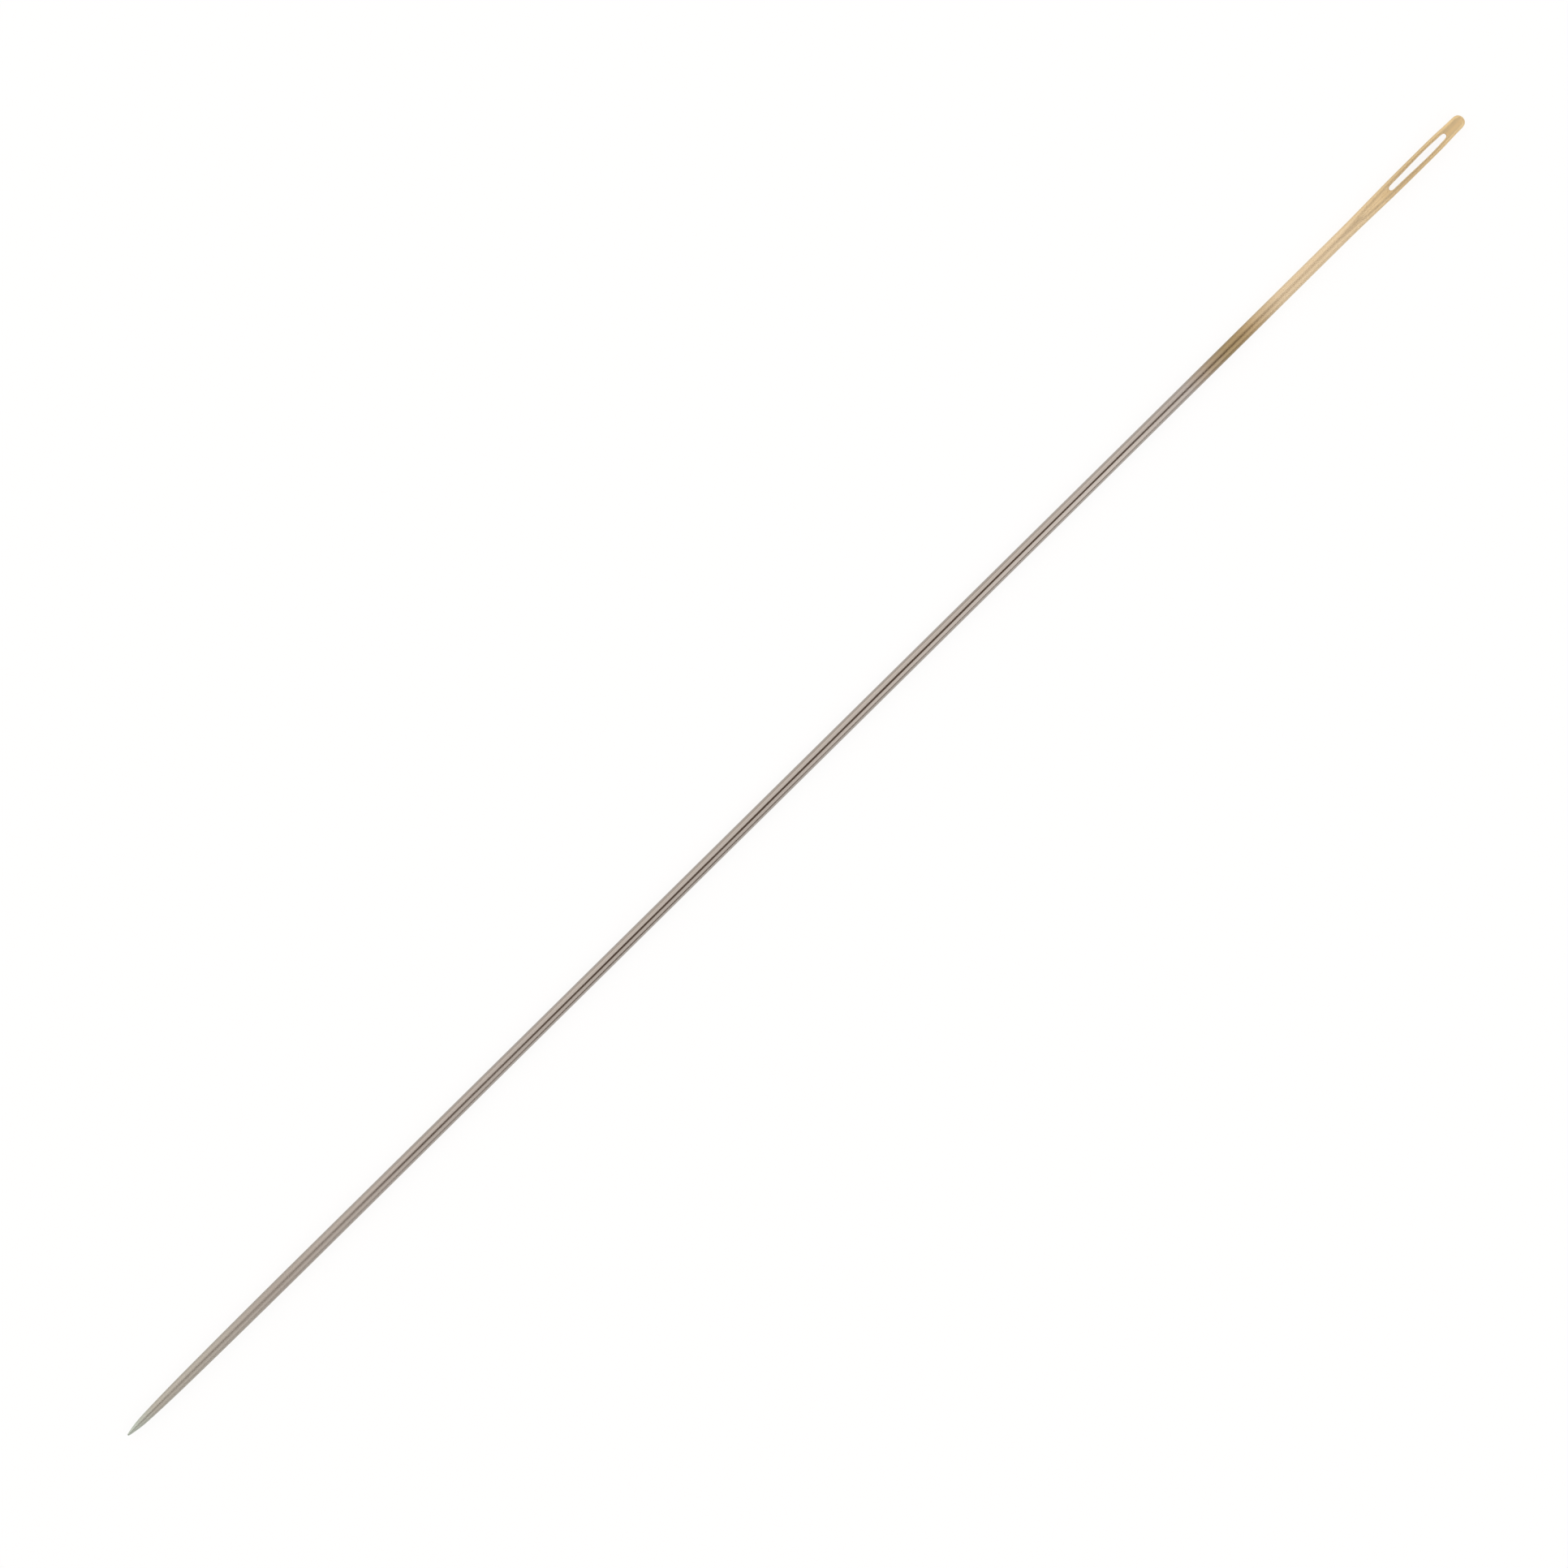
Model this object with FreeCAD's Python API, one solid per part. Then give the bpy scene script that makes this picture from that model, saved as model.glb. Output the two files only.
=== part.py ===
import FreeCAD, Part
import math
import os

from FreeCAD import Vector

# A fine hand sewing needle, lying on a table.
# X runs from the point towards the head, Z is up, and the eye lies flat, its hole looking up and down.
# The origin is on the table, under the middle of the needle's length. All sizes are in millimetres.

# Wire
needle_length = 57.0
shank_diameter = 0.41

# Point, measured from its tip. It is ground in three sweeps, each steeper than the last.
taper_length = 7.4
flank_distance = 2.5
flank_share = 0.87          # of the shank's diameter
shoulder_distance = 0.75
shoulder_share = 0.64       # of the shank's diameter
tip_radius = 0.03

# Hole of the eye: an oblong with round ends, widest between them
hole_length = 2.42
hole_width = 0.214
hole_widest_at = 0.30       # of its length, from the head's side
hole_width_near_head = 0.17
hole_width_near_point = 0.16
rim_radius = 0.025          # rounding of the hole's mouths, so that it doesn't cut the thread

# Head: the wire is pressed between two dies, which spreads it round the hole
head_length = 0.73          # from the hole to the head's end
neck_length = 2.4           # from the hole to the plain shank
rail_share = 0.33           # width beside the hole, of the shank's diameter
head_share = 1.05           # width of the head's end, of the shank's diameter
thickness_share = 0.73      # of the shank's diameter
widest_from = 0.24          # stretch at full width, in shares of the hole's length from the head's side
widest_to = 0.61
flat_beyond_hole = 0.15     # how far the flats go on before they rise to the shank
flat_runout_share = 0.75    # of the neck's length
edge_radius = 0.04          # rounding of the flats' outer edges

# Guide groove on each face, which leads the thread into the hole
groove_length = 1.5
groove_diameter = 0.13
groove_depth = 0.06

# Worked out from the sizes above
shank_radius = shank_diameter / 2
eye_width = hole_width + 2 * rail_share * shank_diameter
head_radius = head_share * shank_diameter / 2
half_thickness = thickness_share * shank_diameter / 2
press_depth = shank_radius - half_thickness
hole_far = head_length + hole_length
flat_runout = flat_runout_share * neck_length
clear = shank_diameter      # how far the cutting tools stand out of the metal

TO_POINT = Vector(-1, 0, 0)
ACROSS = Vector(0, 1, 0)
UP = Vector(0, 0, 1)


def from_tip(distance, across=0.0, up=0.0):
    """A place on or beside the needle's axis, at a distance from its tip."""
    return Vector(distance - needle_length / 2, across, up)


def from_head(distance, across=0.0, up=0.0):
    """A place on or beside the needle's axis, at a distance from the end of its head."""
    return Vector(needle_length / 2 - distance, across, up)


def line(start, end):
    return Part.LineSegment(start, end).toShape()


def arc(start, middle, end):
    return Part.Arc(start, middle, end).toShape()


def arc_along(start, heading, end):
    """An arc that leaves start along heading and runs to end."""
    chord = end - start
    straight = Vector(chord).normalize()
    forward = heading.dot(straight)
    sideways = heading - straight * forward
    middle = (start + end) * 0.5 + sideways * (chord.Length / 2 / (1 + forward))
    return arc(start, middle, end)


def heading_after(start, heading, end):
    """The direction in which such an arc arrives."""
    straight = (end - start).normalize()
    return straight * (2 * heading.dot(straight)) - heading


def swell(start, end):
    """A smooth curve that leaves start and reaches end parallel to the needle's axis."""
    reach = Vector((end.x - start.x) / 2, 0, 0)
    curve = Part.BezierCurve()
    curve.setPoles([start, start + reach, end - reach, end])
    return curve.toShape()


def on_tip_ball(slope):
    """The place on the ball at the tip where its outline falls at a slope, in radians."""
    return from_tip(tip_radius * (1 - math.sin(slope)), tip_radius * math.cos(slope))


def point_outline():
    """The ground point, from the shank to the tip: three sweeps, each tangent to the last, and a tiny ball."""
    edges = []
    here = from_tip(taper_length, shank_radius)
    heading = TO_POINT
    flank = from_tip(flank_distance, flank_share * shank_radius)
    shoulder = from_tip(shoulder_distance, shoulder_share * shank_radius)
    for station in (flank, shoulder):
        edges.append(arc_along(here, heading, station))
        heading = heading_after(here, heading, station)
        here = station
    arriving = heading_after(here, heading, from_tip(tip_radius, tip_radius))
    steepness = math.atan2(-arriving.y, -arriving.x)
    ball_start = on_tip_ball(steepness)
    edges.append(arc_along(here, heading, ball_start))
    edges.append(arc(ball_start, on_tip_ball((steepness + math.pi / 2) / 2), from_tip(0)))
    return edges


def head_outline():
    """The swelled head, from the shank to the end: widest beside the hole, then in to a round end."""
    shank_end = from_head(hole_far + neck_length, shank_radius)
    wide_start = from_head(head_length + widest_to * hole_length, eye_width / 2)
    wide_end = from_head(head_length + widest_from * hole_length, eye_width / 2)
    dome_start = from_head(head_radius, head_radius)
    dome_middle = from_head(head_radius * (1 - math.sqrt(0.5)), head_radius * math.sqrt(0.5))
    return [
        swell(shank_end, wide_start),
        line(wide_start, wide_end),
        swell(wide_end, dome_start),
        arc(dome_start, dome_middle, from_head(0)),
    ]


def blank():
    """The needle before it is pressed and pierced: its outline turned about its own axis."""
    shank = line(from_tip(taper_length, shank_radius), from_head(hole_far + neck_length, shank_radius))
    axis = line(from_head(0), from_tip(0))
    outline = Part.Wire(Part.sortEdges(point_outline() + [shank] + head_outline() + [axis])[0])
    return Part.Face(outline).revolve(Vector(0, 0, 0), Vector(1, 0, 0), 360)


def die(side):
    """What one die pushes away above (side 1) or below (side -1) the head: a flat that runs out on the shank."""
    flat_end = from_head(hole_far + flat_beyond_hole, -eye_width, side * half_thickness)
    front = from_head(-clear, -eye_width, side * half_thickness)
    rise_end = from_head(
        hole_far + flat_beyond_hole + flat_runout * math.sqrt(2),
        -eye_width,
        side * (half_thickness + 2 * press_depth),
    )
    top = Vector(0, 0, side * (eye_width + clear))
    outline = Part.Wire([
        line(front, flat_end),
        arc_along(flat_end, TO_POINT, rise_end),
        line(rise_end, rise_end + top),
        line(rise_end + top, Vector(front.x, front.y, (rise_end + top).z)),
        line(Vector(front.x, front.y, (rise_end + top).z), front),
    ])
    return Part.Face(outline).extrude(ACROSS * (2 * eye_width))


def hole_punch():
    """The punch that pierces the eye, through both flats."""
    low = -half_thickness - clear
    head_end_radius = hole_width_near_head / 2
    point_end_radius = hole_width_near_point / 2
    head_end_centre = head_length + head_end_radius
    point_end_centre = hole_far - point_end_radius
    widest = head_length + hole_widest_at * hole_length
    edges = [
        arc(
            from_head(head_end_centre, head_end_radius, low),
            from_head(head_length, 0, low),
            from_head(head_end_centre, -head_end_radius, low),
        ),
        arc(
            from_head(point_end_centre, point_end_radius, low),
            from_head(hole_far, 0, low),
            from_head(point_end_centre, -point_end_radius, low),
        ),
    ]
    for side in (1, -1):
        waist = from_head(widest, side * hole_width / 2, low)
        edges.append(swell(from_head(head_end_centre, side * head_end_radius, low), waist))
        edges.append(swell(waist, from_head(point_end_centre, side * point_end_radius, low)))
    return Part.Face(Part.Wire(Part.sortEdges(edges)[0])).extrude(UP * (-2 * low))


def edges_on_flats(body, within=eye_width):
    """The edges of a body that run along the level part of either flat, no further than within from side to side."""
    near = edge_radius / 100
    first = from_head(hole_far + flat_beyond_hole).x - near
    found = []
    for edge in body.Edges:
        places = [] if edge.Degenerated else edge.discretize(5)
        level = all(abs(abs(place.z) - half_thickness) < near for place in places)
        inside = all(place.x > first and abs(place.y) < within / 2 + near for place in places)
        if places and level and inside and any(abs(place.x - places[0].x) > near for place in places):
            found.append(edge)
    return found


def groove_cutter(side):
    """A round bar laid aslant on one face: deepest where it enters the hole, gone a little way down the neck."""
    bar_radius = groove_diameter / 2
    mouth = from_head(hole_far - hole_width_near_point / 2, 0, half_thickness - groove_depth + bar_radius)
    runout = from_head(hole_far + groove_length, 0, shank_radius + bar_radius)
    slope = (runout - mouth).normalize()
    bar = Part.makeCylinder(bar_radius, (runout - mouth).Length, mouth, slope)
    bar.rotate(mouth, slope, 90)
    return bar if side > 0 else bar.mirror(Vector(0, 0, 0), UP)


def needle():
    """The whole needle, with its axis lifted so that the shank lies on the table."""
    pressed = blank().cut([die(1), die(-1)])
    pressed = pressed.makeFillet(edge_radius, edges_on_flats(pressed))
    pierced = pressed.cut(hole_punch())
    pierced = pierced.makeFillet(rim_radius, edges_on_flats(pierced, within=hole_width))
    body = pierced.cut([groove_cutter(1), groove_cutter(-1)])
    body.translate(UP * shank_radius)
    return body.Solids[0]


os.makedirs("parts", exist_ok=True)
solid = needle()
solid.exportStep("parts/needle.step")
box = solid.BoundBox
print(f"needle {box.XLength:.3f} x {box.YLength:.3f} x {box.ZLength:.3f} mm, eye {eye_width:.3f} mm wide")
print(f"valid {solid.isValid()}, closed {solid.isClosed()}, {solid.Volume:.4f} mm3, {len(solid.Faces)} faces")
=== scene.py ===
# %% [markdown]
# A hand sewing needle
#
# This lesson dresses one object: a fine needle, 57 mm long, drawn from steel wire 0.41 mm thick.
# It has a ground point, a plain round shank, and a pressed head with a long hole, the eye.
# The solid model of it is loaded first. It lies on the table along X, its point at the low end,
# its eye flat, so that the hole looks up. Whatever is made here keeps that place and that size.

# %% Load the solid model
import math

import bmesh
import bpy
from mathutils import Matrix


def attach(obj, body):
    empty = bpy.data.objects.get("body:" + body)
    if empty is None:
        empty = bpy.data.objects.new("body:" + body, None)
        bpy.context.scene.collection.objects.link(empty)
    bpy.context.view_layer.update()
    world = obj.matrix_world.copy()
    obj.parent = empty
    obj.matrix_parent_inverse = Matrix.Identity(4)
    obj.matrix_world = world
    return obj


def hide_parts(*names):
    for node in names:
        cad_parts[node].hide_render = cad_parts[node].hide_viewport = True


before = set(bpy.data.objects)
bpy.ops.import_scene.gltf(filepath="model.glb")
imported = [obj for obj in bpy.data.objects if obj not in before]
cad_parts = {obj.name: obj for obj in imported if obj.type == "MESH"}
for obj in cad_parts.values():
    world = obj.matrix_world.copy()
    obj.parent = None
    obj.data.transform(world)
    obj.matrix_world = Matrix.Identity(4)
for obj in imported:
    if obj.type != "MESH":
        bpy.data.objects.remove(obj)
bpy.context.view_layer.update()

# %% [markdown]
# Sizes
#
# A needle is so slender that it pays to think of it as one row of round sections. The sizes below are
# in millimetres. Distances run from the tip for the point, and from the end of the head for the eye.
# Blender's tools get unsure of themselves below a tenth of a millimetre, so the needle is modelled with
# one Blender unit for a millimetre, and shrunk a thousand times at the end.

# %% The needle's sizes
NEEDLE_LENGTH = 57.0
SHANK_RADIUS = 0.205
HALF_THICKNESS = 0.1497

HOLE_START = 0.73
HOLE_END = 3.15

TIP_X = -NEEDLE_LENGTH / 2
HEAD_X = NEEDLE_LENGTH / 2
MM = 0.001

print("length to thickness:", round(NEEDLE_LENGTH / (2 * SHANK_RADIUS)))

# %% [markdown]
# Working on rings
#
# In Blender's window, a ring of corners is picked and moved by hand. A script picks corners by their
# place instead. These helpers do that, draw a ring out to the next one, and close an end.
# Sixteen corners a ring are enough, since the surface is rounded off at the end.
# That rounding shrinks a ring a little, and FULLER makes each one larger by just as much.

# %% Helpers for rings
SIDES = 16
FULLER = 3 / (2 + math.cos(math.tau / SIDES))
NEAR = 0.001


def corners():
    """The corners of the mesh that is being edited."""
    return bmesh.from_edit_mesh(bpy.context.object.data).verts


def choose(test):
    """Selects the corners that pass a test, and nothing else. Returns how many there are."""
    bpy.ops.mesh.select_all(action="DESELECT")
    mesh = bmesh.from_edit_mesh(bpy.context.object.data)
    chosen = [corner for corner in mesh.verts if test(corner.co)]
    for corner in chosen:
        corner.select_set(True)
    mesh.select_flush(True)
    bmesh.update_edit_mesh(bpy.context.object.data)
    return len(chosen)


def draw_out(x, radius):
    """Extrudes the chosen ring to a place further along the needle, and gives it a new radius."""
    ring = [corner.co for corner in corners() if corner.select]
    step = x - ring[0].x
    share = radius * FULLER / max(co.y for co in ring)
    bpy.ops.mesh.extrude_region_move(TRANSFORM_OT_translate={"value": (step, 0, 0)})
    bpy.ops.transform.resize(value=(1, share, share), center_override=(x, 0, 0))


def close_end(x):
    """Draws the chosen ring out to x and gathers it there in one corner, on the axis."""
    draw_out(x, NEAR)
    bpy.ops.mesh.merge(type="CENTER")


print("corners in a ring:", SIDES)

# %% [markdown]
# The wire and its point
#
# The real needle is cut from drawn wire, and its point is ground while it rolls between a belt and a
# stone. The point isn't a cone: it is a long, slightly bulging sweep that gets steeper towards the tip,
# so that it opens the cloth gently. One way to make it is to revolve a curve. Here a circle is drawn
# out section by section instead, each one a little larger, because the same rings are wanted later to
# press the head flat.

# %% The ground point
POINT = [  # distance from the tip, share of the shank's radius
    (0.03, 0.160),
    (0.07, 0.203),
    (0.15, 0.286),
    (0.3, 0.418),
    (0.45, 0.523),
    (0.6, 0.596),
    (0.8, 0.651),
    (1.1, 0.709),
    (1.5, 0.772),
    (2.0, 0.833),
    (2.5, 0.870),
    (3.5, 0.918),
    (4.5, 0.954),
    (5.5, 0.980),
    (6.5, 0.996),
    (7.4, 1.000),
]
FIRST_RING = 0.008
FIRST_RADIUS = 0.024

bpy.ops.object.select_all(action="DESELECT")
bpy.ops.mesh.primitive_circle_add(
    vertices=SIDES,
    radius=FIRST_RADIUS * FULLER,
    location=(TIP_X + FIRST_RING, 0, 0),
    rotation=(0, math.pi / 2, 0),
)
needle = bpy.context.object
needle.name = "sewing_needle"
needle.data.name = "sewing_needle"
bpy.ops.object.transform_apply(location=True, rotation=True, scale=True)
bpy.ops.object.mode_set(mode="EDIT")
bpy.ops.mesh.select_mode(type="VERT")
bpy.ops.mesh.select_all(action="SELECT")
for distance, share in POINT:
    draw_out(TIP_X + distance, share * SHANK_RADIUS)
choose(lambda co: co.x < TIP_X + FIRST_RING + NEAR)
close_end(TIP_X)
print("point:", len(corners()), "corners")

# %% [markdown]
# The shank and the blank of the head
#
# From the point the wire runs on, round and straight, for most of the needle. Its rings stand close
# at both ends and far apart between them, where nothing changes. The last six millimetres are the
# head. On the real needle two dies squeeze the wire there, and it spreads sideways: it gets wider
# where the hole will be, and stays wide to its round end. So the rings swell and then close in a dome.

# %% The shank, then the head's rings
SHANK = [48.0, 44.0, 38.0, 31.0, 24.0, 17.0, 12.0, 8.5, 6.8, 6.0]  # distances from the head's end
HEAD = [  # distance from the head's end, half the width there
    (5.55, 0.2050),
    (5.05, 0.2063),
    (4.65, 0.2097),
    (4.20, 0.2168),
    (3.80, 0.2254),
    (3.50, 0.2316),
    (3.28, 0.2353),
    (3.15, 0.2371),
    (3.04, 0.2384),
    (2.80, 0.2404),
    (2.45, 0.2420),
    (2.10, 0.2423),
    (1.75, 0.2423),
    (1.45, 0.2423),
    (1.20, 0.2419),
    (1.00, 0.2385),
    (0.82, 0.2315),
    (0.73, 0.2271),
    (0.60, 0.2215),
    (0.42, 0.2168),
    (0.2153, 0.2158),
    (0.11, 0.1936),
    (0.03, 0.1188),
]

choose(lambda co: co.x > TIP_X + POINT[-1][0] - NEAR)
for distance in SHANK:
    draw_out(HEAD_X - distance, SHANK_RADIUS)
for distance, half_width in HEAD:
    draw_out(HEAD_X - distance, half_width)
close_end(HEAD_X)
print("wire:", len(corners()), "corners")

# %% [markdown]
# Pressing the flats
#
# The dies leave a flat on the top and on the underside of the head. By hand, that is done by choosing
# all the corners above a height and scaling them to nothing in Z, which lays them in one plane. Towards
# the shank the flats rise and run out, so there each ring is pressed a little less than the last.
# The metal that goes down has to go somewhere: the flats' outer corners are moved out as well, which
# keeps the sides full.

# %% Press the head flat, then let the flats run out on the shank
FLAT_END = 3.3
RUN_OUT = [  # distance from the head's end, half the thickness there
    (3.50, 0.1504),
    (3.80, 0.1540),
    (4.20, 0.1635),
    (4.65, 0.1808),
    (5.05, 0.2030),
]
SPREAD = 1.1
SPREAD_START, SPREAD_END = 0.2, 4.0
MIDDLE_ROWS = 0.13  # on a flat, the three middle rows of corners lie within this of its middle line


def press(x_from, x_to, half_thickness):
    """Lays the corners that stand above or below the flats in the flats' planes."""
    for side in (1, -1):
        choose(lambda co: x_from < co.x < x_to and side * co.z > half_thickness)
        bpy.ops.transform.resize(value=(1, 1, 0), center_override=(0, 0, side * half_thickness))


press(HEAD_X - FLAT_END, HEAD_X, HALF_THICKNESS)
for distance, half_thickness in RUN_OUT:
    press(HEAD_X - distance - NEAR, HEAD_X - distance + NEAR, half_thickness)


def on_flats_edge(co):
    """Tests for the outer corners of the flats."""
    in_stretch = HEAD_X - SPREAD_END < co.x < HEAD_X - SPREAD_START
    return in_stretch and abs(co.z) > 0.9 * HALF_THICKNESS and abs(co.y) > MIDDLE_ROWS


outer = choose(on_flats_edge)
bpy.ops.transform.resize(value=(1, SPREAD, 1), center_override=(0, 0, 0))
print("pressed flats,", outer, "corners moved out")

# %% [markdown]
# Piercing the eye
#
# The hole is an oblong with round ends, widest nearer the end of the head. A boolean cut would make
# it in one go, but it leaves slivers that catch the light. Here the row of corners along the middle of
# each flat is deleted, which opens a slot above and below, and the corners beside it are moved to the
# hole's outline.

# %% Open the slot and give it its outline
HOLE = [  # distance from the head's end, half the width there
    (1.00, 0.0882),
    (1.20, 0.1002),
    (1.45, 0.1070),
    (1.75, 0.1056),
    (2.10, 0.0985),
    (2.45, 0.0876),
    (2.80, 0.0812),
]
ENDS = [(HOLE_START, 0.82, 0.085), (HOLE_END, 3.04, 0.080)]  # end, next ring, radius of the round end
FACE_HEIGHT = 0.1  # corners further than this from the needle's middle plane lie on a face


def beside_slot(x):
    """Tests for the four corners of one ring that stand next to the slot."""
    return lambda co: abs(co.x - x) < NEAR and NEAR < abs(co.y) < MIDDLE_ROWS and abs(co.z) > FACE_HEIGHT


def set_slot(x, half_width):
    """Moves those corners to the slot's edge."""
    choose(beside_slot(x))
    share = half_width / max(corner.co.y for corner in corners() if corner.select)
    bpy.ops.transform.resize(value=(1, share, 1), center_override=(x, 0, 0))


choose(lambda co: abs(co.y) < NEAR and HEAD_X - HOLE_END + NEAR < co.x < HEAD_X - HOLE_START - NEAR)
bpy.ops.mesh.delete(type="VERT")
for distance, half_width in HOLE:
    set_slot(HEAD_X - distance, half_width)
for end, next_ring, radius in ENDS:
    inward = math.copysign(radius * (1 - math.sqrt(0.5)), end - next_ring)
    set_slot(HEAD_X - next_ring, radius)
    set_slot(HEAD_X - end, radius * math.sqrt(0.5))
    bpy.ops.transform.translate(value=(inward, 0, 0))

print("slot:", len(HOLE) + 2 * len(ENDS), "rings moved to its outline")

# %% [markdown]
# The wall of the hole
#
# Two open edges face each other now, one above and one below, and a bridge between them makes the wall.
# The punch leaves sharp rims on the real needle. They are polished round, or they would cut the thread.
# A bevel does that here. It takes the edges that lie on a flat, beside the hole, and are sharp.

# %% Bridge the two open edges and round the mouths
MOUTH_RADIUS = 0.022
SHARP_ANGLE = math.radians(60)

bpy.ops.mesh.select_all(action="DESELECT")
bpy.ops.mesh.select_mode(type="EDGE")
bpy.ops.mesh.select_non_manifold(
    use_wire=False, use_multi_face=False, use_non_contiguous=False, use_verts=False
)
bpy.ops.mesh.bridge_edge_loops(number_cuts=1)
bpy.ops.mesh.select_all(action="DESELECT")
mesh = bmesh.from_edit_mesh(needle.data)
mesh.normal_update()
rims = 0
for edge in mesh.edges:
    middle = (edge.verts[0].co + edge.verts[1].co) / 2
    level = all(abs(abs(corner.co.z) - HALF_THICKNESS) < NEAR for corner in edge.verts)
    inside = HEAD_X - HOLE_END - NEAR < middle.x < HEAD_X - HOLE_START + NEAR
    if level and inside and abs(middle.y) < MIDDLE_ROWS and edge.calc_face_angle(0) > SHARP_ANGLE:
        edge.select_set(True)
        rims += 1
bpy.ops.mesh.bevel(offset=MOUTH_RADIUS, offset_type="OFFSET", segments=2, profile=0.5, affect="EDGES")
bpy.ops.mesh.select_mode(type="VERT")
print("eye:", rims, "rim edges rounded,", len(corners()), "corners")

# %% [markdown]
# The guide grooves
#
# Below the eye, a short groove in each flat leads the thread into the hole. It is deepest at the hole
# and fades out on the neck. The middle row of corners is pushed in for it, and its neighbours are drawn
# close to keep it narrow.

# %% Sink the grooves
GROOVE = [  # distance from the head's end, depth, half the width there
    (3.28, 0.080, 0.062),
    (3.50, 0.066, 0.058),
    (3.80, 0.048, 0.052),
    (4.20, 0.026, 0.045),
]
MOUTH_DEPTH = 0.075


def sink(x_from, x_to, depth):
    """Pushes the middle row of corners into the needle, from above and from below."""
    for side in (1, -1):
        choose(lambda co: x_from < co.x < x_to and abs(co.y) < NEAR and side * co.z > HALF_THICKNESS / 2)
        bpy.ops.transform.translate(value=(0, 0, -side * depth))


sink(HEAD_X - HOLE_END - 2 * MOUTH_RADIUS, HEAD_X - HOLE_END + MOUTH_RADIUS, MOUTH_DEPTH)
for distance, depth, half_width in GROOVE:
    set_slot(HEAD_X - distance, half_width)
    sink(HEAD_X - distance - NEAR, HEAD_X - distance + NEAR, depth)
print("grooves:", len(GROOVE) + 1, "places on each face")

# %% [markdown]
# Finishing the shape
#
# A Subdivision Surface modifier rounds the rings to a true wire and the pressed corners to soft ones,
# as tumbling with fine grit does to the real thing. Then the needle is lifted so that it lies on the
# table, shrunk from one unit a millimetre to its real size, and its size and place are written into
# its mesh.

# %% Round it off, lay it on the table and shrink it
ROUNDINGS = 3

bpy.ops.mesh.select_all(action="SELECT")
bpy.ops.mesh.remove_doubles(threshold=NEAR / 10)
bpy.ops.mesh.normals_make_consistent(inside=False)
bpy.ops.object.mode_set(mode="OBJECT")
bpy.ops.object.shade_smooth()
rounding = needle.modifiers.new("rounding", "SUBSURF")
rounding.levels = ROUNDINGS
rounding.render_levels = ROUNDINGS
bpy.ops.object.modifier_apply(modifier=rounding.name)
bpy.ops.transform.translate(value=(0, 0, SHANK_RADIUS))
bpy.ops.transform.resize(value=(MM, MM, MM), center_override=(0, 0, 0))
bpy.ops.object.transform_apply(location=True, rotation=True, scale=True)
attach(needle, "root")
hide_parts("needle")
size = [round(side * 1000, 3) for side in needle.dimensions]
print("finished needle:", size, "mm,", len(needle.data.polygons), "faces")

# %% [markdown]
# The finish
#
# The wire is carbon steel, hardened, ground along its length and polished, then plated with nickel
# against rust. That gives a bright, slightly warm grey with fine lines that run from point to head.
# The head is dipped in gold as well, so that the eye is easy to find and smooth for the thread.
# Where the gold begins, the coat is thin and the metal looks olive brown for a few millimetres,
# and then it turns a clear pale gold. So one metal is enough, whose colour changes along X.
# An image could carry that change, but a colour ramp on the needle's own X needs no unwrapping.

# %% Helpers for colours and nodes
def colour(code):
    """A colour written as on a paint card, #rrggbb, in the linear values that a shader takes."""
    shares = [int(code[place : place + 2], 16) / 255 for place in (1, 3, 5)]
    return [share / 12.92 if share <= 0.04045 else ((share + 0.055) / 1.055) ** 2.4 for share in shares] + [1]


def add_node(tree, kind, settings=None, **inputs):
    """Adds a node. An input is a value, or the output of another node to link."""
    node = tree.nodes.new(kind)
    for name, value in (settings or {}).items():
        setattr(node, name, value)
    for name, value in inputs.items():
        socket = node.inputs[int(name[1:])] if name[0] == "_" else node.inputs[name.replace("_", " ")]
        if isinstance(value, bpy.types.NodeSocket):
            tree.links.new(value, socket)
        else:
            socket.default_value = value
    return node


print("a middle grey, as a shader takes it:", round(colour("#808080")[0], 3))

# %% [markdown]
# Nickel and gold on steel
#
# Typical values come first: a plated, polished metal is fully metallic, with a roughness of about 0.2.
# The shank is polished best. The ground point is duller, and so is the gold, which is dipped and then
# left as it comes from the bath. Two ramps along the needle hold that: one of colours, and one of
# greys, each grey being a roughness. Their stops are places in millimetres from the needle's middle.

# %% Colours and dullness along the needle
NICKEL = "#b1aaa3"
PLATING = [  # place along X in mm, colour
    (-28.5, "#cad6cc"),
    (-27.4, "#c0bdb3"),
    (-22.0, "#b6afa7"),
    (-16.0, NICKEL),
    (16.7, NICKEL),
    (17.5, "#ab9c88"),
    (18.3, "#a3916f"),
    (18.9, "#ac9772"),
    (19.5, "#c2ab85"),
    (20.2, "#dac7a6"),
    (20.8, "#ead8b8"),
    (23.3, "#efdcba"),
    (24.8, "#ecd7af"),
    (26.0, "#e2cca2"),
    (27.2, "#e8d2a6"),
    (27.9, "#f4deb1"),
]
DULLNESS = [  # place along X in mm, roughness
    (-28.5, 0.50),
    (-22.0, 0.47),
    (-17.0, 0.30),
    (-10.0, 0.19),
    (0.0, 0.14),
    (13.5, 0.15),
    (16.6, 0.30),
    (18.5, 0.38),
    (20.8, 0.56),
    (27.6, 0.60),
]


def fill_ramp(ramp, places, as_colour):
    """Gives a colour ramp its stops, from places along the needle in millimetres."""
    stops = ramp.color_ramp.elements
    while len(stops) < len(places):
        stops.new(1.0)
    for stop, (x, value) in zip(stops, places):
        stop.position = (x - TIP_X) / NEEDLE_LENGTH
        stop.color = as_colour(value)


print("along the needle:", len(PLATING), "colours and", len(DULLNESS), "roughnesses")

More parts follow.
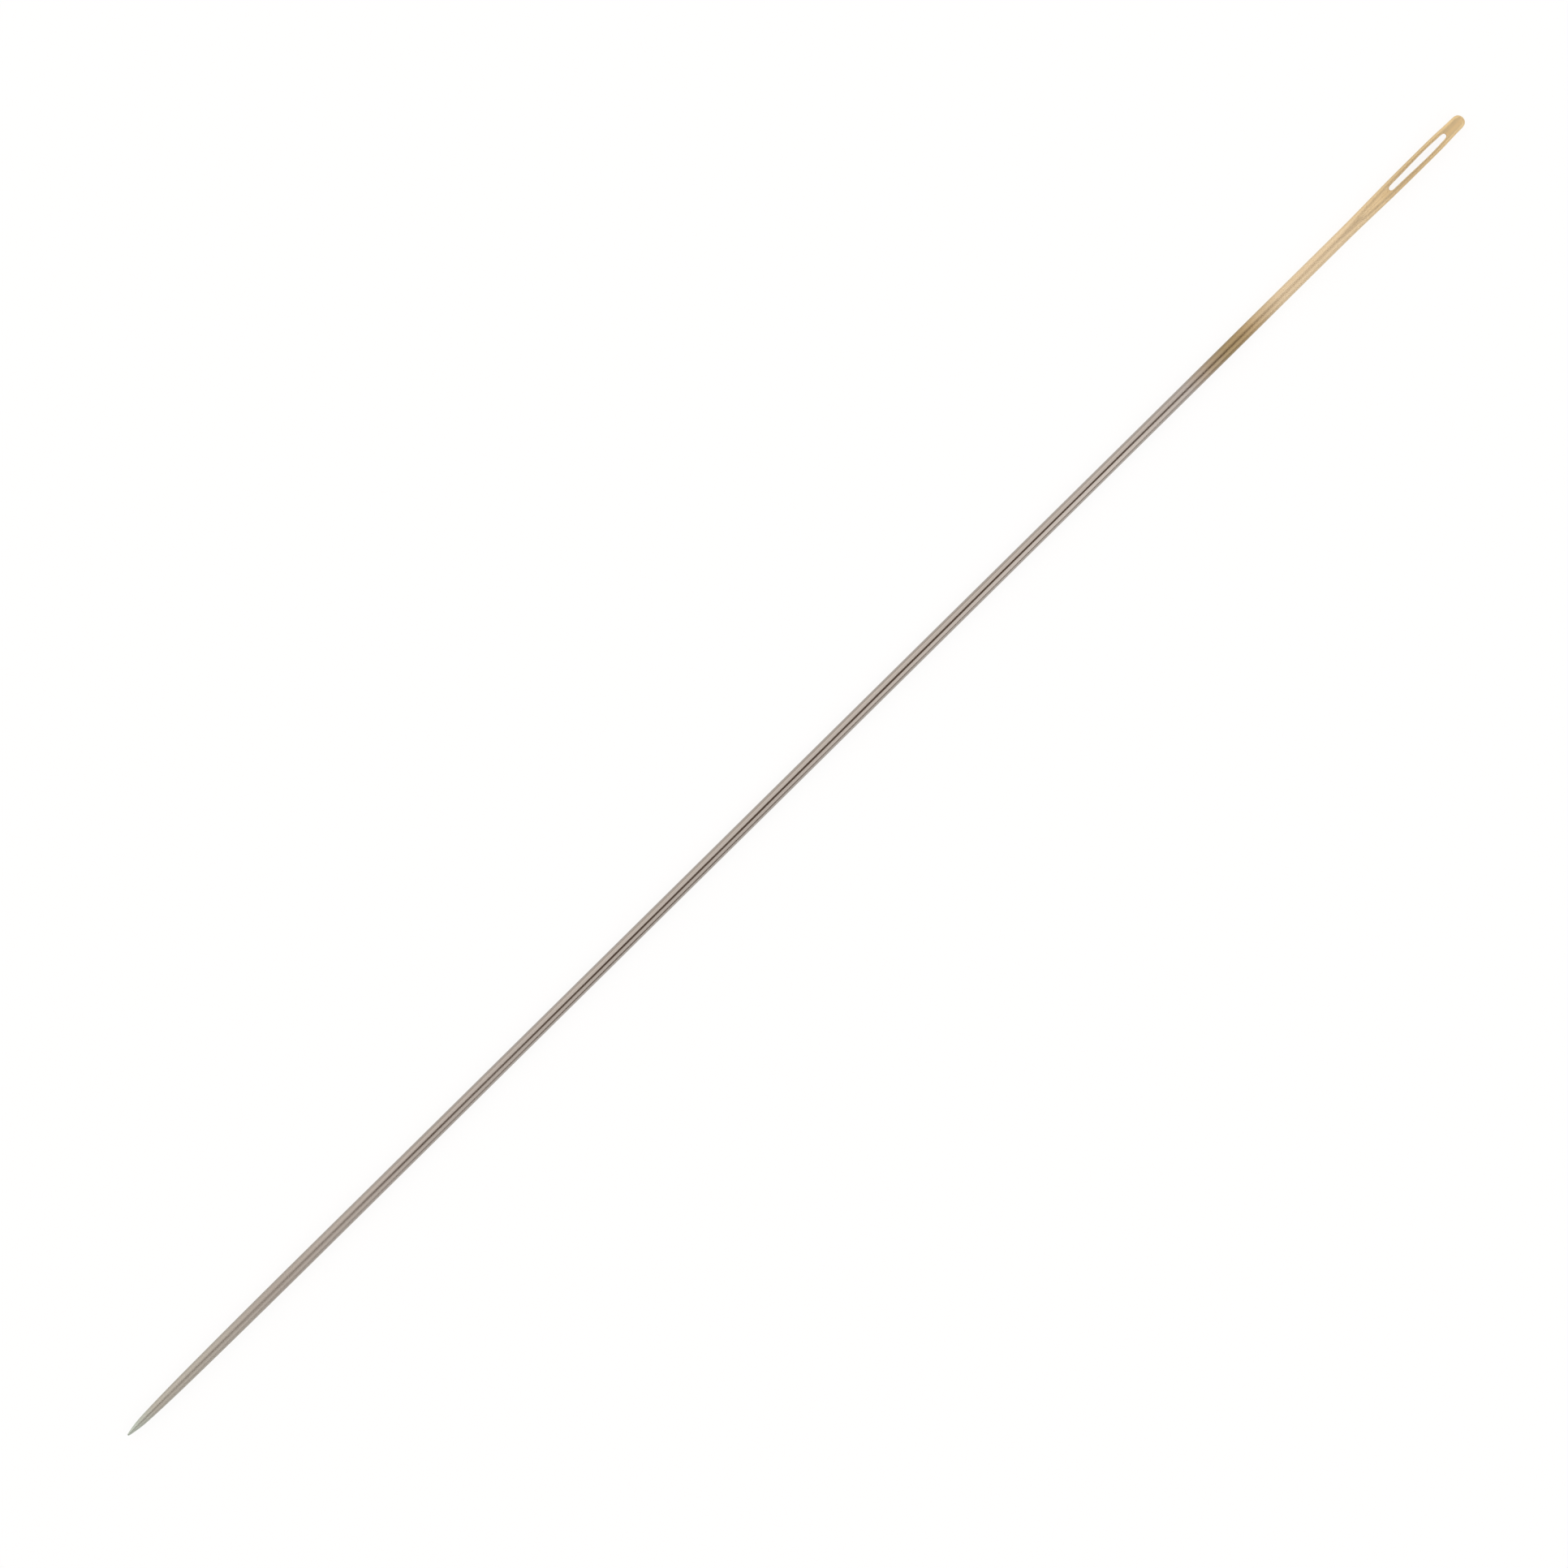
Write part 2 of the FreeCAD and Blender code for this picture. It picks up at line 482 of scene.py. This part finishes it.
# %% [markdown]
# The coats
#
# The edge of the gold isn't a clean ring, for the bath wets the wire unevenly, so a broad noise moves
# the ramps to and fro by a few tenths of a millimetre.

# %% Two ramps with an uneven edge
EDGE_WOBBLE = 0.35
PATCH_SIZE = 0.6

plated_steel = bpy.data.materials.new("nickel_and_gold_plated_steel")
plated_steel.use_nodes = True
tree = plated_steel.node_tree
tree.nodes.clear()
place = add_node(tree, "ShaderNodeTexCoord").outputs["Object"]

uneven = add_node(tree, "ShaderNodeTexNoise", Vector=place, Scale=1 / (PATCH_SIZE * MM), Detail=1.0)
along = add_node(tree, "ShaderNodeSeparateXYZ", Vector=place)
shifted = add_node(
    tree,
    "ShaderNodeMath",
    {"operation": "MULTIPLY_ADD"},
    _0=uneven.outputs["Fac"],
    _1=2 * EDGE_WOBBLE * MM,
    _2=along.outputs["X"],
)
share = add_node(
    tree,
    "ShaderNodeMapRange",
    Value=shifted.outputs["Value"],
    From_Min=(TIP_X + EDGE_WOBBLE) * MM,
    From_Max=(HEAD_X + EDGE_WOBBLE) * MM,
)
coat = add_node(tree, "ShaderNodeValToRGB", Fac=share.outputs["Result"])
fill_ramp(coat, PLATING, colour)
dullness = add_node(tree, "ShaderNodeValToRGB", Fac=share.outputs["Result"])
fill_ramp(dullness, DULLNESS, lambda roughness: (roughness, roughness, roughness, 1))
print("coats:", len(tree.nodes), "nodes")

# %% [markdown]
# The grinding lines
#
# Grinding leaves lines along the wire, a few hundredths of a millimetre wide at most. They are drawn
# 0.04 mm wide and 5 mm long, a little coarser than real ones, because finer ones wouldn't show.
# One stretched noise gives them, and they change the tone a little, the roughness more, and the height
# by a few thousandths of a millimetre.

# %% Lines along the wire, and the finished metal
LINE_LENGTH, LINE_WIDTH, LINE_DEPTH = 5.0, 0.04, 0.004
LOW, HIGH = 0.3, 0.7  # where the noise is scaled from and to

stretched = add_node(
    tree,
    "ShaderNodeMapping",
    Vector=place,
    Scale=(1 / (LINE_LENGTH * MM), 1 / (LINE_WIDTH * MM), 1 / (LINE_WIDTH * MM)),
)
lines = add_node(tree, "ShaderNodeTexNoise", Vector=stretched.outputs["Vector"], Scale=1.0, Detail=2.0)
tone = add_node(
    tree,
    "ShaderNodeMapRange",
    Value=lines.outputs["Fac"],
    From_Min=LOW,
    From_Max=HIGH,
    To_Min=0.95,
    To_Max=1.04,
)
tinted = add_node(
    tree,
    "ShaderNodeVectorMath",
    {"operation": "SCALE"},
    _0=coat.outputs["Color"],
    Scale=tone.outputs["Result"],
)
gloss = add_node(
    tree,
    "ShaderNodeMapRange",
    Value=lines.outputs["Fac"],
    From_Min=LOW,
    From_Max=HIGH,
    To_Min=0.8,
    To_Max=1.2,
)
roughness = add_node(
    tree,
    "ShaderNodeMath",
    {"operation": "MULTIPLY"},
    _0=dullness.outputs["Color"],
    _1=gloss.outputs["Result"],
)
grooves = add_node(
    tree,
    "ShaderNodeBump",
    Height=lines.outputs["Fac"],
    Strength=0.3,
    Distance=LINE_DEPTH * MM,
)
metal = add_node(
    tree,
    "ShaderNodeBsdfPrincipled",
    Base_Color=tinted.outputs["Vector"],
    Metallic=1.0,
    Roughness=roughness.outputs["Value"],
    Normal=grooves.outputs["Normal"],
)
add_node(tree, "ShaderNodeOutputMaterial", Surface=metal.outputs["BSDF"])
needle.data.materials.clear()
needle.data.materials.append(plated_steel)
print("plated steel:", len(tree.nodes), "nodes")

# %% [markdown]
# The table
#
# Polished metal has hardly a colour of its own: it shows its surroundings, so they are made with care.
# The needle lies on white card. The card glows for the camera, and less so in the metal, so that it
# looks white without more light on the needle. The rest of it is plain paper, which takes the needle's
# soft shadow. It lies a hair below the needle, so that the two don't touch.

# %% The white table
TABLE_SIZE = 1.6
TABLE_DROP = 0.002
GLOW_SEEN = 0.85
GLOW_MIRRORED = 0.55
GLOW_STRENGTH = 1.06

bpy.ops.mesh.primitive_plane_add(size=TABLE_SIZE, location=(0, 0, -TABLE_DROP * MM))
table = bpy.context.object
table.name = "white_table"
white_card = bpy.data.materials.new("white_card")
white_card.use_nodes = True
tree = white_card.node_tree
tree.nodes.clear()
rays = add_node(tree, "ShaderNodeLightPath")
seen = add_node(
    tree,
    "ShaderNodeMath",
    {"operation": "MAXIMUM"},
    _0=rays.outputs["Is Camera Ray"],
    _1=rays.outputs["Is Transmission Ray"],
)
seen_share = add_node(
    tree,
    "ShaderNodeMath",
    {"operation": "MULTIPLY"},
    _0=seen.outputs["Value"],
    _1=GLOW_SEEN,
)
glow_share = add_node(
    tree,
    "ShaderNodeMath",
    {"operation": "MULTIPLY_ADD"},
    _0=rays.outputs["Is Glossy Ray"],
    _1=GLOW_MIRRORED,
    _2=seen_share.outputs["Value"],
)
paper = add_node(tree, "ShaderNodeBsdfDiffuse", Color=colour("#f2f1ef"))
glow = add_node(tree, "ShaderNodeEmission", Strength=GLOW_STRENGTH)
both = add_node(
    tree,
    "ShaderNodeMixShader",
    _0=glow_share.outputs["Value"],
    _1=paper.outputs["BSDF"],
    _2=glow.outputs["Emission"],
)
add_node(tree, "ShaderNodeOutputMaterial", Surface=both.outputs["Shader"])
table.data.materials.append(white_card)
print("table:", TABLE_SIZE, "m wide")

# %% [markdown]
# The lights
#
# Long soft lights lie on both sides of the needle. Between them is a dark gap, through which the camera
# looks, and the gap shows in the wire as a thin dark line along its middle. On the right, seen from the
# point, two lights lie in a row: a dim one at the point, and a wide, bright one at the head.

# %% The lights
LIGHT_REACH = 0.6
LIGHT_HEIGHT = 0.35
HEAD_LIGHT_START = 0.012
GAP_ANGLE = math.radians(16)


def long_light(name, side, width, strength, start, end):
    """A soft light along the needle, beside the gap. Its strength is how bright it looks, 1 being white."""
    inner = LIGHT_HEIGHT * math.tan(GAP_ANGLE)
    bpy.ops.object.light_add(
        type="AREA", location=((start + end) / 2, side * (inner + width / 2), LIGHT_HEIGHT)
    )
    light = bpy.context.object
    light.name = name
    light.data.shape = "RECTANGLE"
    light.data.size = end - start
    light.data.size_y = width
    light.data.energy = strength * math.pi * (end - start) * width
    return light


long_light("left_light", 1, 1.2, 1.0, -LIGHT_REACH, LIGHT_REACH)
long_light("right_light", -1, 0.75, 0.78, -LIGHT_REACH, HEAD_LIGHT_START)
long_light("head_light", -1, 1.6, 1.3, HEAD_LIGHT_START, LIGHT_REACH)

# %% [markdown]
# The room
#
# Beyond the lights, the needle shows the room: pale round the horizon, and warm and dim overhead.
# On the right the dimness comes lower down, which draws a darker edge along the wire.
# The camera itself sees plain white there.

# %% The room
RIGHT_DIMNESS = 0.4

world = bpy.data.worlds.new("studio")
bpy.context.scene.world = world
world.use_nodes = True
tree = world.node_tree
tree.nodes.clear()
looking = add_node(tree, "ShaderNodeTexCoord").outputs["Generated"]
direction = add_node(tree, "ShaderNodeSeparateXYZ", Vector=looking)
right = add_node(tree, "ShaderNodeMath", {"operation": "MINIMUM"}, _0=direction.outputs["Y"], _1=0.0)
tilted = add_node(
    tree,
    "ShaderNodeMath",
    {"operation": "MULTIPLY_ADD"},
    _0=right.outputs["Value"],
    _1=-RIGHT_DIMNESS,
    _2=direction.outputs["Z"],
)
sky = add_node(tree, "ShaderNodeValToRGB", Fac=tilted.outputs["Value"])
horizon, overhead = sky.color_ramp.elements
horizon.position, horizon.color = 0.0, colour("#fff4ea")
overhead.position, overhead.color = 0.5, colour("#6e5c50")
air = add_node(tree, "ShaderNodeBackground", Color=sky.outputs["Color"], Strength=1.0)
backdrop = add_node(tree, "ShaderNodeBackground", Color=colour("#ffffff"), Strength=1.0)
rays = add_node(tree, "ShaderNodeLightPath")
seen = add_node(
    tree,
    "ShaderNodeMath",
    {"operation": "MAXIMUM"},
    _0=rays.outputs["Is Camera Ray"],
    _1=rays.outputs["Is Transmission Ray"],
)
surroundings = add_node(
    tree,
    "ShaderNodeMixShader",
    _0=seen.outputs["Value"],
    _1=air.outputs["Background"],
    _2=backdrop.outputs["Background"],
)
add_node(tree, "ShaderNodeOutputWorld", Surface=surroundings.outputs["Shader"])
print("room:", len(tree.nodes), "nodes")

# %% [markdown]
# The camera
#
# It looks straight down on the needle from 0.4 m, with a long lens, and is turned so that the point is
# at the lower left and the eye at the upper right, at 44.6 degrees. The picture is square and covers
# 47.7 mm, so the needle reaches nearly from corner to corner.

# %% The camera
CAMERA_HEIGHT = 0.4
VIEW_WIDTH = 47.66
TURN = math.radians(44.63)
SENSOR = 36.0
VIEW_X, VIEW_Y = -0.41, 0.076  # the middle of the picture

bpy.ops.object.camera_add(location=(VIEW_X * MM, VIEW_Y * MM, CAMERA_HEIGHT), rotation=(0, 0, -TURN))
camera = bpy.context.object
camera.data.sensor_width = SENSOR
camera.data.lens = SENSOR * CAMERA_HEIGHT / (VIEW_WIDTH * MM)
camera.data.clip_start = 0.01
bpy.context.scene.camera = camera
bpy.context.scene.view_settings.view_transform = "Standard"
print("lens:", round(camera.data.lens), "mm")
